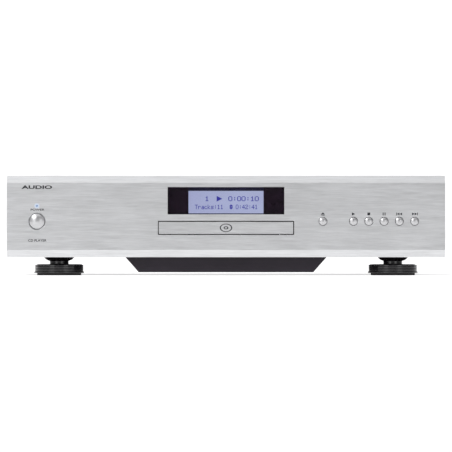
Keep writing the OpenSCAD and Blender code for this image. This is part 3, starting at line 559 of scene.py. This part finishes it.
def cells(bm, text, left, top, cell, pitch, y):
    """Draws each row of a character as bars, one for each run of lit cells."""
    wider = 1.12
    taller = 1.1
    for index, letter in enumerate(text):
        start = left + index * pitch
        for row, line in enumerate(GLYPHS[letter].split()):
            middle = top - (row + 0.5) * cell[1]
            column = 0
            while column < len(line):
                run = len(line[column:]) - len(line[column:].lstrip("1"))
                if run:
                    centre = start + (column + run / 2) * cell[0]
                    outline = bar(centre, middle, run * cell[0] * wider, cell[1] * taller)
                    flat_shape(bm, outline, y, LCD_INK_THICK)
                column += max(run, 1)


def display_ink():
    """Two lines of characters and a play arrow on the glass of the display."""
    low, _, panel = corners("lcd_panel")
    y = low.y - LCD_INK_GAP
    ink = bmesh.new()
    for text, left in BIG_WORDS.items():
        cells(ink, text, left, panel.z + BIG_TOP, BIG_CELL, BIG_PITCH, y)
    for text, left in SMALL_WORDS.items():
        cells(ink, text, left, panel.z + SMALL_TOP, SMALL_CELL, SMALL_PITCH, y)
    x, above, half = PLAY_ARROW
    flat_shape(ink, triangle(x, panel.z + above, half, 1), y, LCD_INK_THICK)
    add_piece("display_ink", ink, "lcd_ink", "cabinet")


def window_backing():
    """Behind the window: dark films left and right of the display, and strips above and below it."""
    low, high = front_part("display_window")
    back = corners("display_window")[1].y
    middle = corners("lcd_panel")[2].z
    margin = 1.5 * MM
    front = back + 0.02 * MM
    rear = back + 0.15 * MM
    half_wide = LCD_WIDE / 2
    half_tall = LCD_TALL / 2
    bottom = low.z - margin
    top = high.z + margin
    films = bmesh.new()
    block(films, (low.x - margin, front, bottom), (-half_wide, rear, top))
    block(films, (half_wide, front, bottom), (high.x + margin, rear, top))
    add_piece("window_mask", films, "mask", "cabinet")
    strips = bmesh.new()
    block(strips, (-half_wide, front, middle + half_tall), (half_wide, rear, top))
    block(strips, (-half_wide, front, bottom), (half_wide, rear, middle - half_tall))
    add_piece("display_edge", strips, "lcd_bezel", "cabinet")


def display():
    refined("display_window", 0.12 * MM)
    window_backing()
    refined("lcd_frame", 0.1 * MM)
    refined("lcd_panel", 0.1 * MM)
    display_ink()


# ---------------------------------------------------------------- marks on the front

# Outlines about the middle of each mark, in units of MARK_SCALE.
MARK_SCALE = 1.25 * MM
MARK_ABOVE_BUTTON = 7.2 * MM
BUTTON_MARKS = {
    "eject": [[(-1.5, -0.25), (1.5, -0.25), (0, 1.25)], bar(0, -0.9, 3.0, 0.55)],
    "play": [triangle(0, 0, 1.2, 1)],
    "stop": [bar(0, 0, 2.2, 2.2)],
    "pause": [bar(-0.75, 0, 0.7, 2.3), bar(0.75, 0, 0.7, 2.3)],
    "previous": [bar(-2.2, 0, 0.5, 2.2), triangle(-0.95, 0, 1.0, -1), triangle(1.05, 0, 1.0, -1)],
    "next": [bar(2.2, 0, 0.5, 2.2), triangle(0.95, 0, 1.0, 1), triangle(-1.05, 0, 1.0, 1)],
}


def button_mark(name, outlines):
    """The printed symbol above a button."""
    _, _, centre = corners(name + "_button")
    z = centre.z + MARK_ABOVE_BUTTON
    bm = bmesh.new()
    for outline in outlines:
        grown = [(centre.x + u * MARK_SCALE, z + v * MARK_SCALE) for u, v in outline]
        flat_shape(bm, grown, FACE_Y, INK_THICK)
    add_piece(name + "_mark", bm, "ink", "cabinet")


def front_words():
    """Name, text, centre (x, z), size and stroke weight of each word on the front."""
    _, _, power = corners("power_button")
    above_power = (power.x + 0.6 * MM, power.z + 11.4 * MM)
    return [
        ("power_word", "POWER", above_power, (13.5 * MM, 2.0 * MM), 0.02),
        ("maker_word", "AUDIO", (-185.5 * MM, 86.7 * MM), (30 * MM, 3.5 * MM), 0.035),
        ("kind_word", "CD PLAYER", (-185 * MM, 34.4 * MM), (18 * MM, 2.4 * MM), 0.02),
    ]


def front_marks():
    for name, outlines in BUTTON_MARKS.items():
        button_mark(name, outlines)
    for name, text, centre, size, weight in front_words():
        lettering(name, text, centre, size, "ink", weight=weight)


def door_mark():
    """Two printed rings, as a plain picture of a disc."""
    low, _, centre = corners("tray_door")
    bm = bmesh.new()
    for outer, inner in ((4.1 * MM, 3.3 * MM), (1.6 * MM, 0.8 * MM)):
        flat_ring(bm, centre, low.y, inner, outer, 48, stretch=1.5)
    add_piece("door_mark", bm, "soft_ink", "tray")


# ---------------------------------------------------------------- lamp and buttons

def power_lamp():
    """A lens with a rounded tip and a collar, and a painted glow round it: a flat ring on the panel that
    emits light in place of the lamp's light falling there.
    """
    low, high, centre = corners("power_led")
    front_low, front_high = front_part("power_led")
    tip_r = (front_high.x - front_low.x) / 2
    collar_r = (high.x - low.x) / 2
    collar = PANEL_HIGH.y - low.y
    profile = [(0, 0), (tip_r * 0.5, 0.03 * MM), (tip_r * 0.85, 0.15 * MM), (tip_r, 0.4 * MM)]
    profile += [(tip_r, collar), (collar_r, collar), (collar_r, high.y - low.y)]
    lamp = bmesh.new()
    turn(lamp, profile, towards(BACKWARD, (centre.x, low.y, centre.z)), 40)
    add_look("power_led", lamp)
    # Painted glow: an emitting ring on the panel stands for the lamp's light falling on it.
    glow = bmesh.new()
    flat_ring(glow, centre, FACE_Y, tip_r + 0.1 * MM, 2.5 * MM, 40)
    add_piece("painted_lamp_glow", glow, "lamp_halo", "cabinet")


def button(node):
    """A turned button: a domed cap with a rounded rim, a retaining flange and a stem."""
    low, high, centre = corners(node)
    flange_r = (high.x - low.x) / 2
    cap_r = flange_r - 1.4 * MM
    rim_r = 0.25 * MM
    rim_in = cap_r - rim_r
    dome_h = 0.35 * cap_r
    dome_r = (cap_r * cap_r + dome_h * dome_h) / (2 * dome_h)
    spread = math.degrees(math.asin(rim_in / dome_r))
    profile = arc(dome_r, (0.0, dome_r), -90, spread - 90, 12)
    rim = profile[-1][1]
    flange = PANEL_HIGH.y + 0.1 * MM - low.y
    flange_back = flange + 1.0 * MM
    stem_r = 2.5 * MM if node == "power_button" else 1.5 * MM
    profile += arc(rim_r, (rim_in, rim + rim_r), -60, 0, 4)
    profile += [(cap_r, rim + 1.2 * MM), (cap_r, flange), (flange_r, flange), (flange_r, flange_back)]
    profile += [(stem_r, flange_back), (stem_r, high.y - low.y)]
    bm = bmesh.new()
    turn(bm, profile, towards(BACKWARD, (centre.x, low.y, centre.z)), 72)
    add_look(node, bm)


# ---------------------------------------------------------------- feet

FOOT_ROUND = 0.4 * MM
FOOT_LIP_H = 1.4 * MM
FOOT_SIDE_IN = 0.9 * MM
FOOT_SIDE_H = 1.8 * MM
FOOT_GROOVES = (3.2 * MM, 4.6 * MM, 6.4 * MM)
FOOT_CROWN_H = 8.3 * MM
FOOT_RINGS = (19 * MM, 15 * MM)
FOOT_WELL_R = 6 * MM
FOOT_SEAT_Z = 7 * MM
FOOT_HOLE_R = 2.2 * MM

# Radius, and height above the crown.
FOOT_WAIST = [(10.9, 0.0), (10.1, 0.15), (9.6, 0.6), (9.4, 1.2)]
# Radius, and depth below the top.
FOOT_FLARE = [(9.4, 4.0), (9.7, 3.6), (11.0, 3.2), (12.6, 2.5), (14.0, 1.5), (14.8, 0.5), (15.0, 0.0)]


def foot_side(lip_r, base):
    """Profile from the well at the floor, over the lip and up the grooved side."""
    side = lip_r - FOOT_SIDE_IN
    lip_in = lip_r - FOOT_ROUND
    profile = [(FOOT_WELL_R, base)]
    profile += arc(FOOT_ROUND, (lip_in, base + FOOT_ROUND), -90, 0, 5)
    profile += arc(FOOT_ROUND, (lip_in, base + FOOT_LIP_H - FOOT_ROUND), 0, 90, 5)
    profile += [(side, base + FOOT_SIDE_H)]
    half = 0.28 * MM
    for height in FOOT_GROOVES:
        z = base + height
        profile += [(side, z - half), (side - 0.3 * MM, z), (side, z + half)]
    return profile


def foot_crown(side, crown):
    """Profile over the rounded shoulder and in across the two fine rings of the crown."""
    profile = arc(FOOT_ROUND, (side - FOOT_ROUND, crown - FOOT_ROUND), 0, 90, 5)
    half = 0.3 * MM
    for ring in FOOT_RINGS:
        profile += [(ring + half, crown), (ring, crown - 0.25 * MM), (ring - half, crown)]
    return profile


def foot(node):
    """A turned foot: a lip, a grooved side, a ringed crown, a waist, a flared top and a screw hole."""
    low, high, centre = corners(node)
    lip_r = (high.x - low.x) / 2
    crown = low.z + FOOT_CROWN_H
    profile = foot_side(lip_r, low.z)
    profile += foot_crown(lip_r - FOOT_SIDE_IN, crown)
    profile += [(r * MM, crown + up * MM) for r, up in FOOT_WAIST]
    profile += [(r * MM, high.z - down * MM) for r, down in FOOT_FLARE]
    profile += [(FOOT_HOLE_R, high.z), (FOOT_HOLE_R, FOOT_SEAT_Z), (FOOT_WELL_R, FOOT_SEAT_Z)]
    bm = bmesh.new()
    turn(bm, profile, Matrix.Translation((centre.x, centre.y, 0)), 96, closed=True)
    add_look(node, bm, angle=28)


# ---------------------------------------------------------------- separate solids of a node

def group_boxes(bm):
    """Box of each connected group of vertices, in order."""
    left = set(bm.verts)
    found = []
    while left:
        first = left.pop()
        group = [first]
        waiting = [first]
        while waiting:
            vert = waiting.pop()
            for link in vert.link_edges:
                other = link.other_vert(vert)
                if other in left:
                    left.discard(other)
                    group.append(other)
                    waiting.append(other)
        found.append(box_of([v.co for v in group]))
    return sorted(found, key=lambda pair: tuple(pair[0]))


def islands(node):
    """Box of each separate solid of a node."""
    bm = solid_mesh(node)
    found = group_boxes(bm)
    bm.free()
    return found


def top_areas(node):
    """Box of each separate flat area at the very top of a node."""
    bm = solid_mesh(node)
    top = max(v.co.z for v in bm.verts)
    lower = [f for f in bm.faces if min(v.co.z for v in f.verts) < top - 0.02 * MM]
    bmesh.ops.delete(bm, geom=lower, context="FACES")
    found = group_boxes(bm)
    bm.free()
    return found


# ---------------------------------------------------------------- screws

def cross_outline(arm, reach):
    """Corners of a plus sign, in order."""
    return [(arm, arm), (arm, reach), (-arm, reach), (-arm, arm), (-reach, arm), (-reach, -arm),
            (-arm, -arm), (-arm, -reach), (arm, -reach), (arm, -arm), (reach, -arm), (reach, arm)]


def screw_head(bm, at, axis, r, height):
    """A pan head with a cross recess; its seat is at the place given and its top points along the axis."""
    steps = 40
    floor_h = 0.45 * height
    narrower = 0.8
    levels = [(r, 0.0), (r, 0.3 * height), (0.97 * r, 0.6 * height), (0.88 * r, 0.85 * height)]
    levels += [(0.74 * r, height)]
    rings = [[bm.verts.new(point) for point in circle(radius, h, steps)] for radius, h in levels]
    for low, high in zip(rings, rings[1:]):
        wall(bm, low, high)
    bm.faces.new(rings[0])
    cross = cross_outline(0.2 * r, 0.62 * r)
    mouth = [bm.verts.new((u, v, height)) for u, v in cross]
    floor = [bm.verts.new((u * narrower, v * narrower, floor_h)) for u, v in cross]
    edges = [bm.edges.new((mouth[i - 1], mouth[i])) for i in range(len(mouth))]
    edges += [bm.edges.get((rings[-1][i - 1], rings[-1][i])) for i in range(steps)]
    bmesh.ops.triangle_fill(bm, edges=edges, use_beauty=True)
    wall(bm, mouth, floor)
    bm.faces.new(floor)
    verts = [v for ring in rings for v in ring] + mouth + floor
    bmesh.ops.transform(bm, matrix=towards(axis, at), verts=verts)


def upright_screw(bm, low, high, centre):
    """A loader screw: a pan head on a plain shank."""
    head_h = 2.2 * MM
    shank_r = 1.5 * MM
    seat = high.z - head_h
    screw_head(bm, (centre.x, centre.y, seat), UP, (high.x - low.x) / 2, head_h)
    turn(bm, [(shank_r, low.z), (shank_r, seat)], Matrix.Translation((centre.x, centre.y, 0)), 24)


def case_screws():
    """Every case and loader screw, with its cross recess."""
    bm = bmesh.new()
    for low, high in islands("screws"):
        centre = (low + high) / 2
        size = high - low
        if size.x < size.z and size.x < size.y:
            side = 1 if centre.x > 0 else -1
            seat = (low.x if side > 0 else high.x, centre.y, centre.z)
            screw_head(bm, seat, (side, 0, 0), size.y / 2, size.x)
        elif size.y < size.z and size.y < size.x:
            screw_head(bm, (centre.x, low.y, centre.z), BACKWARD, size.x / 2, size.y)
        else:
            upright_screw(bm, low, high, centre)
    add_look("screws", bm)


# ---------------------------------------------------------------- rear connectors

PHONO_R = 4.15 * MM
PHONO_COLLAR_R = 5.4 * MM
PHONO_WALL = 0.55 * MM
PHONO_LIP = 0.25 * MM
PHONO_PIN_R = 1.6 * MM
PHONO_BACK_Y = REAR_Y - 1.2 * MM
PHONO_SEAT_Y = REAR_Y + 1.0 * MM
PHONO_ROWS_SPLIT_Z = 53 * MM


def phono_shell(bm, x, z, end):
    """The metal of one phono socket: a washer with a turned edge and a hollow barrel."""
    back = PHONO_BACK_Y
    seat = PHONO_SEAT_Y
    lip = PHONO_LIP
    collar_r = PHONO_COLLAR_R
    bore = PHONO_R - PHONO_WALL
    profile = [(bore, back), (collar_r - lip, back), (collar_r, back + lip), (collar_r, seat - lip)]
    profile += [(collar_r - lip, seat), (PHONO_R + 0.2 * MM, seat), (PHONO_R, seat + 0.2 * MM)]
    profile += [(PHONO_R, end - lip), (PHONO_R - lip, end), (bore, end - 0.1 * MM)]
    turn(bm, profile, towards(BACKWARD, (x, 0, z)), 48, closed=True)


def phono_insert(name, x, z, end, material):
    """The coloured insulator in the mouth of a phono socket."""
    r = PHONO_R - 0.6 * MM
    rim = end - 0.4 * MM
    profile = [(PHONO_PIN_R, PHONO_BACK_Y), (r, PHONO_BACK_Y), (r, rim)]
    profile += [(PHONO_PIN_R + 0.5 * MM, rim), (PHONO_PIN_R, end - 0.7 * MM)]
    bm = bmesh.new()
    turn(bm, profile, towards(BACKWARD, (x, 0, z)), 40, closed=True)
    add_piece(name, bm, material, "cabinet")


def phono_sockets():
    """The analogue and digital sockets, each with a housing, a gold shell and a coloured insert."""
    for node, upper, lower in (("phono_jacks", "pale_plastic", "red_plastic"),
                               ("coaxial_jack", "orange_plastic", "orange_plastic")):
        metal = bmesh.new()
        housing = bmesh.new()
        for index, (low, high) in enumerate(islands(node)):
            centre = (low + high) / 2
            phono_shell(metal, centre.x, centre.z, high.y)
            bevelled_block(housing, low, (high.x, PHONO_BACK_Y, high.z), 0.5 * MM)
            material = lower if centre.z < PHONO_ROWS_SPLIT_Z else upper
            phono_insert(f"{node}_insert_{index}", centre.x, centre.z, high.y, material)
        add_look(node, metal)
        add_piece(node + "_housing", housing, "dark_plastic", "cabinet")


# Text, centre (x, z) and size of each plain word on the back, in millimetres.
REAR_WORDS = {
    "left_word": ("L", (196, 62), (1.6, 2.4)),
    "right_word": ("R", (196, 44), (1.6, 2.4)),
    "line_word": ("LINE OUT", (177, 71), (17, 2.2)),
    "digital_word": ("DIGITAL OUT", (142, 53), (19, 2.2)),
    "link_word": ("LINK", (103, 53), (8, 2.2)),
    "serial_word": ("SERIAL", (66, 56), (12, 2.2)),
    "mains_word": ("AC IN", (-168, 64), (12, 2.6)),
}


def rear_words():
    for name, (text, place, size) in REAR_WORDS.items():
        centre = [value * MM for value in place]
        wide_tall = [value * MM for value in size]
        lettering(name, text, centre, wide_tall, "white_ink", y=REAR_Y, facing=1)


# ---------------------------------------------------------------- electronics

CHIP_H = 2.0 * MM
CHIP_SKIN = 0.1 * MM
LEAD_PITCH = 1.0 * MM
LEAD_HALF = 0.2 * MM
LEAD_THICK = 0.2 * MM
LEAD_REACH = 1.2 * MM
LEAD_RISER = 0.3 * MM
LEAD_RISE = 1.0 * MM


def bent_lead(bm, x, edge_y, side, base):
    """A lead that lies on the board and turns up into the side of its package."""
    foot_y = sorted((edge_y, edge_y + side * LEAD_REACH))
    riser_y = sorted((edge_y, edge_y + side * LEAD_RISER))
    knee = base + LEAD_THICK
    block(bm, (x - LEAD_HALF, foot_y[0], base), (x + LEAD_HALF, foot_y[1], knee))
    block(bm, (x - LEAD_HALF, riser_y[0], knee), (x + LEAD_HALF, riser_y[1], base + LEAD_RISE))


def chips():
    """Black packages with bent leads on the main board, over the blocks of the CAD solid."""
    packages = bmesh.new()
    leads = bmesh.new()
    for low, high in top_areas("main_board"):
        base = low.z - CHIP_H
        bottom = (low.x - CHIP_SKIN, low.y - CHIP_SKIN, base + 0.3 * MM)
        top = (high.x + CHIP_SKIN, high.y + CHIP_SKIN, high.z + CHIP_SKIN)
        bevelled_block(packages, bottom, top, 0.3 * MM)
        count = int((high.x - low.x) / LEAD_PITCH) - 1
        for i in range(count):
            x = low.x + (i + 1) * LEAD_PITCH
            bent_lead(leads, x, low.y, -1, base)
            bent_lead(leads, x, high.y, 1, base)
    add_piece("board_chips", packages, "chip_plastic", "cabinet")
    add_piece("board_leads", leads, "screw_steel", "cabinet")


CAN_LIP = 0.8 * MM
CAN_LID_IN = 1.5 * MM
CAN_LID_DEPTH = 0.12 * MM
CAN_SCORES = (0, 60, 120)


def can_sleeve(bm, r, tall, place):
    """A sleeved can with a crimp near its foot and a rolled edge at its top."""
    profile = [(r - 0.4 * MM, 0), (r, 0.4 * MM), (r, 1.8 * MM), (r - 0.5 * MM, 2.4 * MM), (r, 3.0 * MM)]
    profile += [(r, tall - CAN_LIP)]
    profile += arc(CAN_LIP, (r - CAN_LIP, tall - CAN_LIP), 15, 90, 5)
    profile += [(r - 1.4 * MM, tall), (r - CAN_LID_IN, tall - 0.2 * MM)]
    turn(bm, profile, place, 48)


def can_lid(bm, r, tall, place):
    """The bare metal top of a can, with raised score lines."""
    top = tall - CAN_LID_DEPTH
    turn(bm, [(r, tall - 0.25 * MM), (r, top), (0.0, top)], place, 48)
    reach = r * 0.7
    half = 0.15 * MM
    for angle in CAN_SCORES:
        score = block(bm, (-reach, -half, 0), (reach, half, 0.05 * MM))
        lift = Matrix.Translation((0, 0, top))
        spin = Matrix.Rotation(math.radians(angle), 4, "Z")
        bmesh.ops.transform(bm, matrix=place @ lift @ spin, verts=score)


def capacitor_cans():
    sleeves = bmesh.new()
    lids = bmesh.new()
    for low, high in islands("capacitors"):
        centre = (low + high) / 2
        r = (high.x - low.x) / 2
        tall = high.z - low.z
        place = Matrix.Translation((centre.x, centre.y, low.z))
        can_sleeve(sleeves, r, tall, place)
        can_lid(lids, r - CAN_LID_IN, tall, place)
    add_look("capacitors", sleeves)
    add_piece("capacitor_lids", lids, "motor_steel", "cabinet")


# ---------------------------------------------------------------- the object

# Width of the broken edges of each node that keeps its CAD shape, in millimetres.
EDGE_WIDTHS = {
    "front_panel": 0.22, "tray_door": 0.3, "top_cover": 0.2, "belly_pan": 0.7, "rear_panel": 0.1,
    "base_plate": 0.1, "front_board": 0.0, "main_board": 0.0, "button_guide": 0.1, "disc_tray": 0.3,
    "clamper": 0.3, "turntable": 0.15, "drive_gear": 0.06, "pulley_gear": 0.05, "motor_pulley": 0.1,
    "sled_gear": 0.04, "sled_pinion": 0.04, "drive_belt": 0.1, "guide_rods": 0.2, "foot_pads": 0.4,
    "transformer": 2.0, "heat_sink": 0.15, "objective_lens": 0.1, "cam_slider": 0.15, "ribbon_cable": 0.1,
    "link_jacks": 0.15, "serial_jack": 0.12, "power_inlet": 0.3,
}


def buttons_and_feet():
    for node in frame["nodes"]:
        if node.endswith("_button"):
            button(node)
        elif node.startswith(("foot_front", "foot_rear")):
            foot(node)


def finish_cad_nodes():
    """Gives every CAD node the material of its slot."""
    for node, piece in frame["nodes"].items():
        piece.data.materials.clear()
        piece.data.materials.append(MATERIALS[SLOT_OF[node]])


def build_object():
    display()
    front_marks()
    door_mark()
    power_lamp()
    buttons_and_feet()
    case_screws()
    chips()
    capacitor_cans()
    phono_sockets()
    rear_words()
    for node, width in EDGE_WIDTHS.items():
        refined(node, width * MM)
    finish_cad_nodes()


# ---------------------------------------------------------------- studio

SWEEP_HALF_WIDTH = 6.0
SWEEP_FRONT = -6.0
SWEEP_WALL = 4.2
SWEEP_WALL_H = 4.0
SWEEP_BEND = 1.0
SKY_STRENGTH = 0.275

# Place, width and height in metres, and power in watts.
SOFTBOXES = {
    "top_box": ((0, -0.55, 1.35), (1.6, 0.8), 4.4),
    "key_box": ((-1.1, -1.3, 1.3), (0.55, 0.55), 14),
    "left_box": ((-1.75, -2.8, 0.75), (1.3, 1.8), 12),
    "right_box": ((1.75, -2.8, 0.75), (1.3, 1.8), 12),
}
LIGHTS_AIM = (0, FACE_Y, 0.06)


def studio_paper():
    surface = Surface("studio_paper", (0.86, 0.86, 0.86), roughness=0.9, Emission_Strength=0.63)
    surface.put("Emission Color", (1, 1, 1, 1))
    surface.colour_by(surface.even_noise(3), (0.84, 0.84, 0.84), (0.88, 0.88, 0.88))
    return surface.material


def studio():
    """A pale sweep: a floor that curves up into a wall behind the object."""
    bm = bmesh.new()
    bend_y = SWEEP_WALL - SWEEP_BEND
    line = [(SWEEP_FRONT, 0.0)]
    line += arc(SWEEP_BEND, (bend_y, SWEEP_BEND), -90, 0, 9)
    line += [(SWEEP_WALL, SWEEP_WALL_H)]
    left = [bm.verts.new((-SWEEP_HALF_WIDTH, y, z)) for y, z in line]
    right = [bm.verts.new((SWEEP_HALF_WIDTH, y, z)) for y, z in line]
    for i in range(len(line) - 1):
        face = bm.faces.new((left[i], right[i], right[i + 1], left[i + 1]))
        face.smooth = True
    mesh = bpy.data.meshes.new("studio_sweep")
    bm.to_mesh(mesh)
    bm.free()
    mesh.materials.append(studio_paper())
    sweep = bpy.data.objects.new("studio_sweep", mesh)
    bpy.context.scene.collection.objects.link(sweep)


def softbox(name, place, size, power):
    """A rectangular area light aimed at the front panel."""
    lamp = bpy.data.lights.new(name, "AREA")
    lamp.shape = "RECTANGLE"
    lamp.size, lamp.size_y = size
    lamp.energy = power
    box = bpy.data.objects.new(name, lamp)
    box.location = place
    view = Vector(LIGHTS_AIM) - Vector(place)
    box.rotation_euler = view.to_track_quat("-Z", "Y").to_euler()
    bpy.context.scene.collection.objects.link(box)


def lighting():
    world = bpy.data.worlds.new("studio_world")
    world.use_nodes = True
    sky = world.node_tree.nodes["Background"]
    sky.inputs["Color"].default_value = (0.98, 0.98, 1.0, 1)
    sky.inputs["Strength"].default_value = SKY_STRENGTH
    bpy.context.scene.world = world
    for name, (place, size, power) in SOFTBOXES.items():
        softbox(name, place, size, power)


CAMERA_DISTANCE = 3.0
CAMERA_Z = 0.020
VIEW_MIDDLE_Z = 0.0486
VIEW_TO_PANEL_WIDTH = 1.0307
SENSOR_WIDTH = 36


def camera():
    """Level and square to the front panel, and so low that the front feet hide the rear ones."""
    view_wide = VIEW_TO_PANEL_WIDTH * (PANEL_HIGH.x - PANEL_LOW.x)
    data = bpy.data.cameras.new("camera")
    data.sensor_width = SENSOR_WIDTH
    data.lens = SENSOR_WIDTH * CAMERA_DISTANCE / view_wide
    data.shift_y = (VIEW_MIDDLE_Z - CAMERA_Z) / view_wide
    data.clip_start = 0.01
    data.clip_end = 30
    eye = bpy.data.objects.new("camera", data)
    eye.location = (0, FACE_Y - CAMERA_DISTANCE, CAMERA_Z)
    eye.rotation_euler = (math.radians(90), 0, 0)
    bpy.context.scene.collection.objects.link(eye)
    bpy.context.scene.camera = eye


build_object()
studio()
lighting()
camera()

bpy.context.scene.view_settings.view_transform = "Standard"
bpy.context.view_layer.update()
